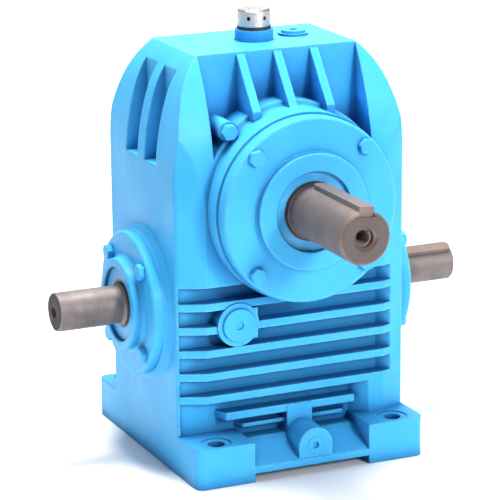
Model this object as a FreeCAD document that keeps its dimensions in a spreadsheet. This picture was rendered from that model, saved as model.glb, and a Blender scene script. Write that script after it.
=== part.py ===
"""Worm gearbox: an under-driven, foot-mounted worm reducer with a through worm shaft.

Frame, in millimetres: the origin is on the foot plane, below the point where the two shaft axes cross in
plan. +Z is up, the worm shaft lies along X and the output shaft leaves the housing towards -Y.
"""
import FreeCAD, Part
import math
import os
import re

import Sketcher
from FreeCAD import Placement, Rotation, Vector

# name of the spreadsheet cell, value in millimetres or degrees, meaning
DIMENSIONS = [
    ("worm_height", 145, "worm axis above the foot plane"),
    ("centre_distance", 100, "worm axis to output axis"),
    ("top_height", 378, "top of the casting above the foot plane"),
    ("half_width", 113, "half of the body and of the feet along X"),
    ("corner_depth", 78, "body corner in Y"),
    ("wall_depth", 89, "front and rear wall in Y"),
    ("wall_half", 88, "half of the flat front wall in X"),
    ("top_depth", 50, "top of the body and floor of the upper bays in Y"),
    ("arch_spring", 270, "height where the end walls start to arch over"),
    ("low_arch", 235, "radius of the arch above its spring"),
    ("arch_knee", 341, "height where the arch tightens"),
    ("high_arch", 86, "radius of the arch above its knee"),
    ("slope_spring", 245, "height where the front and rear walls start to lean in"),
    ("slope_radius", 246, "radius of the lean of the front and rear walls"),
    ("foot_depth", 122, "feet in Y"),
    ("foot_height", 37, "thickness of the feet"),
    ("foot_gap", 57, "half of the gap between the feet in X"),
    ("foot_arch", 8, "height of the relief under the middle of the base"),
    ("lip_height", 14, "front lip between the feet"),
    ("hole_x", 88, "foundation hole in X"),
    ("hole_y", 106, "foundation hole in Y"),
    ("hole_radius", 8, "foundation hole radius"),
    ("wall", 10, "housing wall thickness"),
    ("fin_pitch", 21.6, "pitch of the cooling fins"),
    ("fin_thick", 7, "thickness of a cooling fin at its edge"),
    ("fin_top", 176, "height where the fins start"),
    ("groove_floor", 75, "floor of the fin grooves in Y"),
    ("groove_left", 111, "left end of the fin grooves in X"),
    ("groove_right", 102.5, "right end of the fin grooves in X"),
    ("run_out", 16, "length over which the right end of a groove runs out"),
    ("recess_right", 74, "right end of the recess below the full fins in X"),
    ("short_fin", 57, "top of the short fin above the foot plane"),
    ("low_fin", 43, "top of the lowest fin above the foot plane"),
    ("bay_half", 77.5, "half width of the upper bays"),
    ("rib_pitch", 36, "pitch of the upper ribs"),
    ("rib_thick", 8, "thickness of the upper ribs"),
    ("slot_floor", 91, "floor of the end slots in X"),
    ("slot_inner", 8, "near edge of an end slot in Y"),
    ("slot_outer", 36, "far edge of an end slot in Y"),
    ("slot_low", 279, "lower end of the end slots"),
    ("output_boss", 86, "radius of the front cover's boss on the housing"),
    ("output_flange", 84, "radius of the front cover"),
    ("output_face", 107, "face of both output bosses in Y"),
    ("output_opening", 60, "radius of the front opening"),
    ("output_bolts", 75, "bolt circle radius of the front cover"),
    ("rear_flange", 97.5, "radius of the rear cover"),
    ("rear_opening", 83, "radius of the rear opening, which lets the wheel in"),
    ("rear_bolts", 90, "bolt circle radius of the rear cover"),
    ("wheel_chamber", 90, "radius of the round chamber for the wheel"),
    ("worm_boss", 66, "radius of the worm covers and their bosses"),
    ("worm_face", 119, "face of the worm bosses in X"),
    ("worm_bolts", 55, "bolt circle radius of the worm covers"),
    ("bolt_size", 8, "thread of the cover bolts"),
    ("bolt_flats", 13, "cover bolts across flats"),
    ("gasket", 0.8, "thickness of gaskets and shims"),
    ("output_radius", 24, "radius of the output shaft's end"),
    ("output_seat", 25, "radius of the output shaft's bearing seats"),
    ("wheel_seat", 27.5, "radius of the output shaft under the wheel"),
    ("output_end", 228, "end of the output shaft"),
    ("output_bearing", 62, "inner side of the output bearings"),
    ("output_bearing_width", 20, "width of the output bearings"),
    ("output_bearing_radius", 45, "outer radius of the output bearings"),
    ("worm_radius", 17.5, "radius of the worm shaft's ends"),
    ("worm_seat", 20, "radius of the worm shaft's bearing seats"),
    ("worm_end", 200, "end of the worm shaft"),
    ("worm_bearing", 82, "inner side of the worm bearings"),
    ("worm_bearing_width", 21, "width of the worm bearings"),
    ("worm_bearing_radius", 40, "outer radius of the worm bearings"),
    ("gear_module", 5, "axial module of the worm"),
    ("wheel_teeth", 30, "teeth of the worm wheel"),
    ("worm_pitch_radius", 25, "pitch radius of the worm"),
    ("worm_half", 38, "half of the threaded length"),
    ("wheel_half", 18, "half of the wheel's face width"),
    ("rim_radius", 58, "inner radius of the bronze rim"),
    ("mesh_clearance", 1.15, "widening of a tooth space on each flank"),
    ("ball_circle", 35, "pitch radius of the balls"),
    ("ball_radius", 6.25, "radius of a ball"),
    ("roller_circle", 30.5, "radius of the rollers' middles"),
    ("roller_tilt", 12, "angle between a roller and the worm axis"),
    ("roller_length", 14, "length of a roller"),
    ("roller_radius", 4.2, "radius of a roller at its middle"),
    ("running", 0.05, "radial clearance of shafts in seals"),
    ("output_key_angle", 4, "output key, turned from the top towards +X"),
    ("worm_key_angle", 27, "worm keys, turned from the top towards -Y"),
    ("level_x", -58, "oil level boss in X"),
    ("level_z", 139, "oil level boss above the foot plane"),
    ("drain_x", 4, "drain boss in X"),
    ("drain_z", 25.5, "drain boss above the foot plane"),
    ("breather_height", 10, "breather boss above the top of the casting"),
    ("upper_x", -63, "upper port in X"),
    ("upper_z", 315, "upper port above the foot plane"),
    ("upper_face", 84, "face of the upper port's boss in Y"),
    ("output_seal_radius", 36, "outer radius of the output seal"),
    ("output_seal_width", 9, "width of the output seal"),
    ("output_seal_start", 7, "inner end of the output seal beyond the boss face"),
    ("worm_seal_radius", 34, "outer radius of a worm seal"),
    ("worm_seal_width", 10, "width of a worm seal"),
    ("worm_seal_start", 6, "inner end of a worm seal beyond the boss face"),
    ("output_key_width", 14, "width of the output shaft's outer key"),
    ("output_key_length", 94, "length of the output shaft's outer key"),
    ("wheel_key_width", 16, "width of the key under the wheel"),
    ("worm_key_width", 10, "width of a worm shaft key"),
    ("worm_key_length", 56, "length of a worm shaft key"),
    ("roller_taper", 1.64, "half angle of the rollers' taper"),
    ("tooth_relief", 0.42, "widening of a tooth space for each millimetre below the pitch line"),
    ("plug_radius", 8, "thread radius of the oil plugs and the breather"),
    ("port_radius", 5, "thread radius of the upper port"),
    ("filler_x", 42, "filler plug in X"),
    ("filler_y", 6, "filler plug in Y"),
]
OUTPUT_AXIS = "worm_height + centre_distance"
# rotation that lays a local Z axis along each shaft end, and the height of that shaft
SIDES = {
    "front": (Rotation(Vector(1, 0, 0), 90), OUTPUT_AXIS),
    "rear": (Rotation(Vector(1, 0, 0), -90), OUTPUT_AXIS),
    "right": (Rotation(Vector(0, 1, 0), 90), "worm_height"),
    "left": (Rotation(Vector(0, 1, 0), -90), "worm_height"),
}
# local X and Y of a flat sketch as seen in the model
PLANES = {
    "xz": Rotation(Vector(1, 0, 0), 90),
    "yz": Rotation(Vector(1, 1, 1), 120),
    "xy": Rotation(),
}
# bolt and screw circles: radius, number of places, angle of the first
CIRCLES = {
    "output": ("output_bolts", 4, 45),
    "rear": ("rear_bolts", 8, 22.5),
    "worm": ("worm_bolts", 4, 45),
    "rim": ("rim_radius", 6, 30),
}
ALIASES = {alias for alias, _, _ in DIMENSIONS}
nodes = []

doc = FreeCAD.newDocument("WormGearbox")
sheet = doc.addObject("Spreadsheet::Sheet", "Dimensions")
for row, (alias, size, meaning) in enumerate(DIMENSIONS, start=1):
    sheet.set(f"A{row}", meaning)
    sheet.set(f"B{row}", str(size))
    sheet.setAlias(f"B{row}", alias)
doc.recompute()


# ---------------------------------------------------------------- helpers

def bound(text):
    """An expression in which every dimension's name points at its cell."""
    return re.sub(r"[a-z]\w*", lambda m: "Dimensions." + m[0] if m[0] in ALIASES else m[0], str(text))


def value(text):
    """The number that an expression comes to."""
    return float(sheet.evalExpression(bound(text)))


def drive(item, **expressions):
    """Binds properties to expressions; placement_x means Placement.Base.x."""
    for prop, text in expressions.items():
        path = prop.replace("placement_", "Placement.Base.")
        item.setExpression(path, bound(text))
    return item


def node(item, name):
    """Marks an object as one sub-part of the gearbox."""
    item.Label = name
    nodes.append(item)
    return item


def on_side(item, side, twist=0):
    """Lays an object's local Z axis along a shaft, first turned about it by twist degrees."""
    rotation, height = SIDES[side]
    item.Placement = Placement(Vector(), rotation * Rotation(Vector(0, 0, 1), twist))
    return drive(item, placement_z=height)


def outline(sketch, corners):
    """A closed outline. A corner is (x, y), or (x, y, radius) where an arc leaves it anticlockwise."""
    points = [Vector(value(c[0]), value(c[1]), 0) for c in corners]
    count = len(points)
    for i, corner in enumerate(corners):
        start, end = points[i], points[(i + 1) % count]
        if len(corner) == 2:
            sketch.addGeometry(Part.LineSegment(start, end))
            continue
        radius = value(corner[2])
        chord = end - start
        rise = math.sqrt(radius ** 2 - chord.Length ** 2 / 4)
        inward = Vector(-chord.y, chord.x, 0).normalize()
        middle = (start + end) / 2 + inward * (rise - radius)
        sketch.addGeometry(Part.Arc(start, middle, end))
        bend = sketch.addConstraint(Sketcher.Constraint("Radius", i, radius))
        sketch.setExpression(f"Constraints[{bend}]", bound(corner[2]))
    for i in range(count):
        follower = (i + 1) % count
        sketch.addConstraint(Sketcher.Constraint("Coincident", i, 2, follower, 1))
    for i, corner in enumerate(corners):
        for kind, text in (("DistanceX", corner[0]), ("DistanceY", corner[1])):
            fixed = sketch.addConstraint(Sketcher.Constraint(kind, -1, 1, i, 1, value(text)))
            sketch.setExpression(f"Constraints[{fixed}]", bound(text))


def body_sketch(body, plane, name):
    """A new sketch on one of a body's base planes."""
    sketch = body.newObject("Sketcher::SketchObject", name)
    face = next(f for f in body.Origin.OriginFeatures if f.Role == plane)
    sketch.AttachmentSupport = [(face, "")]
    sketch.MapMode = "FlatFace"
    return sketch


def turned(name, profile):
    """A body turned about its own Z axis from (radius, height) corners."""
    body = doc.addObject("PartDesign::Body", name)
    sketch = body_sketch(body, "XZ_Plane", name + "_profile")
    outline(sketch, profile)
    turn = body.newObject("PartDesign::Revolution", name + "_turn")
    turn.Profile = sketch
    turn.ReferenceAxis = (sketch, ["V_Axis"])
    turn.Angle = 360
    return body


def tube(name, inner, outer, low, high):
    """A turned ring."""
    return turned(name, [(inner, low), (outer, low), (outer, high), (inner, high)])


def box(name, x, y, z):
    """A box from (low, high) pairs along each axis."""
    item = doc.addObject("Part::Box", name)
    return drive(
        item, Length=f"({x[1]}) - ({x[0]})", Width=f"({y[1]}) - ({y[0]})", Height=f"({z[1]}) - ({z[0]})",
        placement_x=x[0], placement_y=y[0], placement_z=z[0])


def cylinder(name, radius, low, high, x=0, y=0):
    """A cylinder along local Z from low to high."""
    item = doc.addObject("Part::Cylinder", name)
    return drive(item, Radius=radius, Height=f"({high}) - ({low})", placement_x=x, placement_y=y,
                 placement_z=low)


def cone(name, low_radius, high_radius, low, high, x=0, y=0):
    """A cone frustum along local Z from low to high."""
    item = doc.addObject("Part::Cone", name)
    return drive(item, Radius1=low_radius, Radius2=high_radius, Height=f"({high}) - ({low})",
                 placement_x=x, placement_y=y, placement_z=low)


def prism(name, across_flats, low, high, x=0, y=0):
    """A hexagonal prism along local Z."""
    item = doc.addObject("Part::Prism", name)
    item.Polygon = 6
    return drive(item, Circumradius=f"({across_flats}) / sqrt(3)", Height=f"({high}) - ({low})",
                 placement_x=x, placement_y=y, placement_z=low)


def extruded(name, plane, corners, low, high):
    """A flat outline in plane xz, yz or xy, extruded along +Y, +X or +Z from low to high."""
    sketch = doc.addObject("Sketcher::SketchObject", name + "_outline")
    sketch.Placement = Placement(Vector(), PLANES[plane])
    outline(sketch, corners)
    item = doc.addObject("Part::Extrusion", name)
    item.Base = sketch
    item.Dir = {"xz": Vector(0, 1, 0), "yz": Vector(1, 0, 0), "xy": Vector(0, 0, 1)}[plane]
    item.DirMode = "Custom"
    item.Solid = True
    return drive(item, LengthFwd=high, LengthRev=f"-({low})")


def fuse(name, items):
    """One shape joined from several."""
    item = doc.addObject("Part::MultiFuse", name)
    item.Shapes = items
    item.Refine = True
    return item


def common(name, items):
    """What several shapes have in common."""
    item = doc.addObject("Part::MultiCommon", name)
    item.Shapes = items
    return item


def cut(name, base, tools):
    """A shape with tools taken away from it."""
    item = doc.addObject("Part::Cut", name)
    item.Base = base
    item.Tool = tools[0] if len(tools) == 1 else fuse(name + "_tools", tools)
    return item


def group(name, items):
    """Separate shapes kept together as one."""
    item = doc.addObject("Part::Compound", name)
    item.Links = items
    return item


def around(name, master, count, radius, first_angle, height=0):
    """Links to one master, spaced evenly round the local Z axis."""
    links = []
    for i in range(count):
        angle = first_angle + 360 * i / count
        link = doc.addObject("App::Link", f"{name}_{i + 1}")
        link.LinkedObject = master
        link.LinkTransform = True
        link.Placement = Placement(Vector(), Rotation(Vector(0, 0, 1), angle))
        drive(link, placement_x=f"({radius}) * cos({angle})", placement_y=f"({radius}) * sin({angle})",
              placement_z=height)
        links.append(link)
    return links


def on_circle(name, master, circle, height=0):
    """Copies of a master in every place of one of the circles."""
    radius, count, first_angle = CIRCLES[circle]
    return group(name + "_circle", around(name, master, count, radius, first_angle, height))


def hex_bolt(name, size, across_flats, head, length):
    """A hexagon bolt: the shank runs down from the origin and the chamfered head stands on it."""
    flats = prism(name + "_hex", across_flats, 0, head)
    slope = cone(name + "_slope", f"{across_flats} / 2 - 0.3 + {head} * 1.732", f"{across_flats} / 2 - 0.3",
                 0, head)
    head_shape = common(name + "_head", [flats, slope])
    shank = cylinder(name + "_shank", f"{size} / 2", f"-({length})", "0.5")
    return fuse(name, [head_shape, shank])


def slot_block(name, width, low, high, bottom, top, closed_low=True, closed_high=True):
    """A bar along local Z between two levels of local Y, with round ends where they are closed."""
    half = f"({width}) / 2"
    start = f"({low}) + {half}" if closed_low else low
    end = f"({high}) - {half}" if closed_high else high
    parts = [box(name + "_bar", (f"-{half}", half), (bottom, top), (start, end))]
    for tag, closed, place in (("low", closed_low, start), ("high", closed_high, end)):
        if closed:
            cap = doc.addObject("Part::Cylinder", f"{name}_{tag}_end")
            cap.Placement = Placement(Vector(), Rotation(Vector(1, 0, 0), -90))
            drive(cap, Radius=half, Height=f"({top}) - ({bottom})", placement_y=bottom, placement_z=place)
            parts.append(cap)
    return fuse(name, parts)


# turn about its axis that brings each shaft's keyway to its place
OUTPUT_TWIST = -value("output_key_angle")
WORM_TWISTS = {"right": 90 + value("worm_key_angle"), "left": 270 + value("worm_key_angle")}


# ---------------------------------------------------------------- housing

def housing_core():
    """The outer form: the common part of a front, a side and a plan outline."""
    knee = "(half_width - low_arch + sqrt(low_arch ^ 2 - (arch_knee - arch_spring) ^ 2))"
    tilt = "((arch_knee - arch_spring) / low_arch)"
    centre_x = f"({knee} - high_arch * sqrt(1 - {tilt} ^ 2))"
    centre_z = f"(arch_knee - high_arch * {tilt})"
    top_half = f"({centre_x} + sqrt(high_arch ^ 2 - (top_height - {centre_z}) ^ 2))"
    front = extruded("core_front", "xz", [
        ("-half_width", 0), ("half_width", 0), ("half_width", "arch_spring", "low_arch"),
        (knee, "arch_knee", "high_arch"), (top_half, "top_height"),
        (f"-{top_half}", "top_height", "high_arch"), (f"-{knee}", "arch_knee", "low_arch"),
        ("-half_width", "arch_spring"),
    ], "-wall_depth", "wall_depth")
    lean = "slope_radius - wall_depth"
    top_face = f"sqrt(slope_radius ^ 2 - (top_height - slope_spring) ^ 2) - ({lean})"
    side = extruded("core_side", "yz", [
        ("-wall_depth", 0), ("wall_depth", 0), ("wall_depth", "slope_spring", "slope_radius"),
        (top_face, "top_height"), (f"-({top_face})", "top_height", "slope_radius"),
        ("-wall_depth", "slope_spring"),
    ], "-half_width", "half_width")
    plan = extruded("core_plan", "xy", [
        ("-wall_half", "-wall_depth"), ("wall_half", "-wall_depth"),
        ("half_width - 5", "-corner_depth - 2", 6), ("half_width", "-corner_depth + 5"),
        ("half_width", "corner_depth - 5", 6), ("half_width - 5", "corner_depth + 2"),
        ("wall_half", "wall_depth"), ("-wall_half", "wall_depth"),
        ("-half_width + 5", "corner_depth + 2", 6), ("-half_width", "corner_depth - 5"),
        ("-half_width", "-corner_depth + 5", 6), ("-half_width + 5", "-corner_depth - 2"),
    ], 0, "top_height")
    return common("core", [front, side, plan])


def housing_feet():
    """Two foot blocks joined by a thin middle with a sloping ledge at the front and rear."""
    feet = []
    for tag, sign in (("right", "1"), ("left", "-1")):
        corners = [("foot_gap", "-foot_depth"), ("half_width - 8", "-foot_depth", 8),
                   ("half_width", "-foot_depth + 8"), ("half_width", "foot_depth - 8", 8),
                   ("half_width - 8", "foot_depth"), ("foot_gap", "foot_depth")]
        turned_corners = [(f"{sign} * ({c[0]})", f"{sign} * ({c[1]})", *c[2:]) for c in corners]
        feet.append(extruded(f"foot_{tag}", "xy", turned_corners, 0, "foot_height"))
    middle = extruded("foot_middle", "yz", [
        ("-foot_depth", "foot_arch"), ("foot_depth", "foot_arch"), ("foot_depth", "lip_height"),
        ("wall_depth - 1", "lip_height + 17"), ("-wall_depth + 1", "lip_height + 17"),
        ("-foot_depth", "lip_height"),
    ], "-foot_gap - 9", "foot_gap + 9")
    return feet + [middle]


def side_cylinder(name, radius, side, low, high):
    """A cylinder about a shaft axis, from low to high along one side's outward direction."""
    rotation, height = SIDES[side]
    axis = "y" if side in ("front", "rear") else "x"
    sign = "-" if side in ("front", "left") else ""
    item = doc.addObject("Part::Cylinder", name)
    item.Placement = Placement(Vector(), rotation)
    drive(item, Radius=radius, Height=f"({high}) - ({low})", placement_z=height)
    return drive(item, **{f"placement_{axis}": f"{sign}({low})"})


def housing_bays():
    """Upper bays on the front and the rear, outside the bosses and between the ribs."""
    bays = []
    for side, sign, boss in (("front", "-", "output_boss + 4"), ("rear", "", "rear_flange + 3")):
        near, far = f"{sign}top_depth", f"{sign}foot_depth"
        depth = (far, near) if sign else (near, far)
        block = box(f"bay_{side}_block", ("-bay_half", "bay_half"), depth,
                    ("slope_spring + 20", "top_height + 1"))
        keep = side_cylinder(f"bay_{side}_keep", boss, side, 0, "foot_depth")
        bays.append(cut(f"bay_{side}", block, [keep]))
    return bays


def housing_ribs():
    """Gusset ribs that run down from the top edge to the bosses."""
    ribs = []
    sides = (("front", "-", "wall_depth - 3", 330), ("rear", "", "top_depth + 22", 352))
    for side, sign, foot, low in sides:
        root, crest, tip = f"{sign}(top_depth - 4)", f"{sign}(top_depth + 0.5)", f"{sign}({foot})"
        for step in (-1, 0, 1):
            centre = f"{step} * rib_pitch"
            edge = [(root, "top_height - 1"), (crest, "top_height - 2"), (tip, low), (tip, low - 30),
                    (root, low - 30)]
            ribs.append(extruded(f"rib_{side}_{step + 2}", "yz", edge, f"{centre} - rib_thick / 2",
                                 f"{centre} + rib_thick / 2"))
    return ribs


def housing_grooves():
    """Grooves between the cooling fins, and the recess below the lowest full fin; both run out at the right."""
    grooves = []
    for side, sign in (("front", -1), ("rear", 1)):
        outer, floor = f"{sign} * (wall_depth + 1)", f"{sign} * groove_floor"
        spans = [(f"groove_{side}_{i + 1}", f"fin_top - {i + 1} * fin_pitch + fin_thick",
                  f"fin_top - {i} * fin_pitch", "groove_right") for i in range(5)]
        spans.append((f"recess_{side}", "lip_height + 17", "fin_top - 5 * fin_pitch", "recess_right"))
        for name, low, high, right in spans:
            grooves.append(extruded(name, "xy", [
                ("-groove_left", outer), (right, outer), (f"{right} - run_out", floor),
                ("-groove_left", floor),
            ], low, high))
    return grooves


def housing_low_fins():
    """The two short fins that stand in the recess, with tapered ends."""
    fins = []
    for side, sign in (("front", -1), ("rear", 1)):
        root = f"{sign} * (groove_floor - 1)"
        for name, left, right, depth, top, thick in (
                ("short", -76, 64, "wall_depth - 0.5", "short_fin", "fin_thick"),
                ("low", -58, 54, "wall_depth - 5", "low_fin", "fin_thick / 2")):
            edge = f"{sign} * ({depth})"
            fins.append(extruded(f"fin_{name}_{side}", "xy", [
                (left, root), (left + 6, edge), (right - 6, edge), (right, root),
            ], f"{top} - {thick}", top))
    return fins


def housing_slots():
    """Slots in the arched shoulders, two at each end, that run out at the arch."""
    height = ("slot_low", "top_height")
    slots = []
    ends = {"right": ("slot_floor", "half_width + 1"), "left": ("-half_width - 1", "-slot_floor")}
    for end, x in ends.items():
        slots.append(box(f"slot_{end}_rear", x, ("slot_inner", "slot_outer"), height))
        slots.append(box(f"slot_{end}_front", x, ("-slot_outer", "-slot_inner"), height))
    return slots


def plug_boss(name, radius, x, z, low, high):
    """A round boss towards the front around (x, z)."""
    disc = doc.addObject("Part::Cylinder", name)
    disc.Placement = Placement(Vector(), Rotation(Vector(1, 0, 0), 90))
    return drive(disc, Radius=radius, Height=f"({high}) - ({low})", placement_x=x,
                 placement_y=f"-({low})", placement_z=z)


def housing_bosses():
    """Round bosses for the covers, the plugs and the breather."""
    bosses = [
        side_cylinder("boss_front", "output_boss", "front", "top_depth", "output_face"),
        side_cylinder("boss_rear", "rear_flange", "rear", "top_depth", "output_face"),
        plug_boss("boss_level", 20, "level_x", "level_z", "groove_floor - 2", "wall_depth + 1.5"),
        box("boss_level_side", ("level_x", "level_x + 19"), ("-wall_depth - 1", "-groove_floor + 2"),
            ("level_z - 14", "level_z + 14")),
        plug_boss("boss_drain", 16.5, "drain_x", "drain_z", "groove_floor - 2", "foot_depth - 2"),
        box("boss_drain_foot", ("drain_x - 16.5", "drain_x + 16.5"), ("-foot_depth + 2", "-groove_floor"),
            ("foot_arch", "drain_z")),
        box("boss_drain_pillar", ("drain_x - 14", "drain_x + 11"), ("-wall_depth", "-groove_floor + 2"),
            ("drain_z", "short_fin - 1")),
        plug_boss("boss_upper", 9, "upper_x", "upper_z", "top_depth - 2", "upper_face"),
        cylinder("boss_breather", 17.5, "top_height - 5", "top_height + breather_height"),
        cylinder("boss_filler", 14, "top_height - 5", "top_height + 2", "filler_x", "filler_y"),
    ]
    for side in ("left", "right"):
        collar = turned(f"boss_worm_{side}", [
            ("40", "half_width - 6"), ("worm_boss + 7", "half_width - 6"), ("worm_boss + 7", "half_width"),
            ("worm_boss + 1", "half_width + 4"), ("worm_boss", "worm_face"), ("40", "worm_face"),
        ])
        bosses.append(on_side(collar, side))
    return bosses


def housing_cavity():
    """The space inside: an oil sump, a round chamber for the wheel and an air space under the top."""
    inner = "half_width - wall - 3"
    return [
        box("cavity_sump", (f"-({inner})", inner), ("-groove_floor + wall", "groove_floor - wall"),
            ("wall + 6", "slope_spring + 5")),
        side_cylinder("cavity_wheel", "wheel_chamber", "front", "-top_depth + wall", "top_depth - wall"),
        side_cylinder("cavity_hub", "output_boss - wall", "front", "-wall_depth + wall",
                      "wall_depth - wall"),
        box("cavity_top", ("-60", "60"), ("-top_depth + wall", "top_depth - wall"),
            (OUTPUT_AXIS, "top_height - wall")),
    ]


def tapped_holes(name, side, circle, low, high):
    """Holes for the bolts of one cover, drilled into its boss."""
    drill = cylinder(name + "_drill", "bolt_size / 2", 0, f"({high}) - ({low})")
    return on_side(on_circle(name, drill, circle, low), side)


def housing_bores():
    """Everything that is machined into the casting."""
    beyond = "output_face + 1"
    bores = [
        side_cylinder("bore_front", "output_opening", "front", "top_depth - wall", beyond),
        side_cylinder("bore_rear", "rear_opening", "rear", "top_depth - wall", beyond),
        tapped_holes("tap_front", "front", "output", "output_face - 20", beyond),
        tapped_holes("tap_rear", "rear", "rear", "output_face - 20", beyond),
        plug_boss("bore_level", "plug_radius", "level_x", "level_z", "groove_floor - wall - 2",
                  "wall_depth + 2"),
        plug_boss("bore_drain", "plug_radius", "drain_x", "drain_z", "groove_floor - wall - 2",
                  "foot_depth - 1"),
        plug_boss("bore_upper", "port_radius", "upper_x", "upper_z", "upper_face - 22", "upper_face + 1"),
        cylinder("bore_breather", "plug_radius", "top_height - wall - 1",
                 "top_height + breather_height + 1"),
        cylinder("bore_filler", "plug_radius", "top_height - wall - 1", "top_height + 5", "filler_x",
                 "filler_y"),
        box("foot_relief", ("-foot_gap", "foot_gap"), ("-foot_depth - 1", "foot_depth + 1"),
            (-1, "foot_arch")),
    ]
    for side in ("left", "right"):
        bores.append(side_cylinder(f"bore_worm_{side}", "worm_bearing_radius", side, "worm_bearing - 6",
                                   "worm_face + 1"))
        bores.append(tapped_holes(f"tap_worm_{side}", side, "worm", "worm_face - 16", "worm_face + 1"))
    corners = [("hole_x", "hole_y"), ("-hole_x", "hole_y"), ("-hole_x", "-hole_y"), ("hole_x", "-hole_y")]
    above = "foot_height + 1"
    for i, (x, y) in enumerate(corners, start=1):
        bores.append(cylinder(f"foundation_{i}", "hole_radius", -1, above, x, y))
        bores.append(cylinder(f"spot_face_{i}", "hole_radius + 6", "foot_height - 1", above, x, y))
    return bores


def make_housing():
    """The casting: outer form, then added bosses and ribs, then the hollow, then machining."""
    carved = cut("carved_core", housing_core(), housing_bays() + housing_grooves() + housing_slots())
    added = housing_feet() + housing_low_fins() + housing_bosses() + housing_ribs()
    cast = fuse("casting", [carved] + added)
    hollow = cut("hollow_casting", cast, housing_cavity())
    seats = [side_cylinder(f"worm_seat_{side}", "worm_bearing_radius + 12", side, "worm_bearing - 5",
                           "half_width - 5") for side in ("left", "right")]
    node(cut("housing", fuse("casting_with_seats", [hollow] + seats), housing_bores()), "housing")


# ---------------------------------------------------------------- covers, gaskets, seals and bolts

def cover_holes(name, circle, low, high):
    """Clearance holes through a cover or a gasket."""
    return on_circle(name + "_hole", cylinder(name + "_drill", "bolt_size / 2 + 0.5", low, high), circle)


def make_output_cover():
    """Flanged cover that carries the front bearing and the output seal."""
    cover = turned("output_cover_form", [
        ("output_bearing_radius", "output_bearing - 1"), ("output_opening", "output_bearing - 1"),
        ("output_opening", "output_face + gasket"), ("output_flange", "output_face + gasket"),
        ("output_flange", "output_face + 12"), ("output_flange - 2", "output_face + 14"),
        (54, "output_face + 14"), (53, "output_face + 15"), (53, "output_face + 20"),
        (52, "output_face + 21"), ("output_seal_radius + 1", "output_face + 21"),
        ("output_seal_radius", "output_face + 20"),
        ("output_seal_radius", "output_face + output_seal_start"),
        (29, "output_face + output_seal_start"), (29, "output_face + output_seal_start - 3"),
        (40, "output_face + output_seal_start - 8"), (40, "output_bearing + output_bearing_width"),
        ("output_bearing_radius", "output_bearing + output_bearing_width"),
    ])
    holes = cover_holes("output_cover", "output", "output_face", "output_face + 16")
    node(on_side(cut("output_cover_cut", cover, [holes]), "front"), "output_cover")


def make_rear_cover():
    """Closed cover over the opening through which the wheel is fitted; it carries the rear bearing."""
    cover = turned("rear_cover_form", [
        (0, "output_face - 3"), (40, "output_face - 3"), (40, "output_bearing + output_bearing_width"),
        ("output_bearing_radius", "output_bearing + output_bearing_width"),
        ("output_bearing_radius", "output_bearing - 1"),
        ("output_bearing_radius + 12", "output_bearing - 1"),
        ("output_bearing_radius + 14", "output_face - 12"), ("rear_opening", "output_face - 12"),
        ("rear_opening", "output_face + gasket"), ("rear_flange", "output_face + gasket"),
        ("rear_flange", "output_face + 9"), ("rear_flange - 2", "output_face + 11"),
        (54, "output_face + 11"), (52, "output_face + 17"), (50, "output_face + 19"),
        (0, "output_face + 19"),
    ])
    holes = cover_holes("rear_cover", "rear", "output_face", "output_face + 12")
    node(on_side(cut("rear_cover_cut", cover, [holes]), "rear"), "rear_cover")


def make_worm_cover(side):
    """Cover with a raised hub that holds the worm bearing's cup and a shaft seal."""
    name = f"worm_cover_{side}"
    cover = turned(name + "_form", [
        (32.5, "worm_bearing + worm_bearing_width"),
        ("worm_bearing_radius", "worm_bearing + worm_bearing_width"),
        ("worm_bearing_radius", "worm_face + gasket"), ("worm_boss", "worm_face + gasket"),
        ("worm_boss", "worm_face + 8"), ("worm_boss - 2", "worm_face + 10"),
        (46, "worm_face + 10"), (43, "worm_face + 13"), (42, "worm_face + 19"), (41, "worm_face + 20"),
        ("worm_seal_radius + 1", "worm_face + 20"), ("worm_seal_radius", "worm_face + 19"),
        ("worm_seal_radius", "worm_face + worm_seal_start"), (25, "worm_face + worm_seal_start"),
        (25, "worm_face + worm_seal_start - 3"), (32.5, "worm_face + worm_seal_start - 7"),
    ])
    holes = cover_holes(name, "worm", "worm_face", "worm_face + 12")
    node(on_side(cut(name + "_cut", cover, [holes]), side), name)


def make_gasket(name, side, inner, outer, face, circle):
    """A thin ring between a boss and its cover, with the bolt holes through it."""
    ring = tube(name + "_ring", inner, outer, face, f"{face} + gasket")
    holes = cover_holes(name, circle, f"{face} - 1", f"{face} + 2")
    node(on_side(cut(name + "_cut", ring, [holes]), side), name)


def make_seal(name, side, shaft, outer, low, width):
    """A shaft seal: an outer case and a lip that rides on the shaft."""
    lip = f"{shaft} + running"
    face = f"{low} + {width}"
    seal = turned(name + "_form", [
        (lip, f"{low} + 2"), (lip, f"{low} + 3"), (f"{shaft} + 3", f"{face} - 1.5"), (lip, f"{face} - 1"),
        (lip, face), (outer, face), (outer, low), (f"{outer} - 2", low), (f"{outer} - 2", f"{face} - 2"),
        (f"{shaft} + 3.5", f"{face} - 2.5"), (f"{shaft} + 2.5", f"{low} + 1"),
    ])
    node(on_side(seal, side), name)


def make_bolts(name, side, circle, face, length):
    """The bolts of one cover, as separate solids in one node."""
    bolt = hex_bolt(name + "_master", "bolt_size", "bolt_flats", 5.5, length)
    node(on_side(on_circle(name + "_bolt", bolt, circle, face), side), name)


# ---------------------------------------------------------------- bearings

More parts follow.
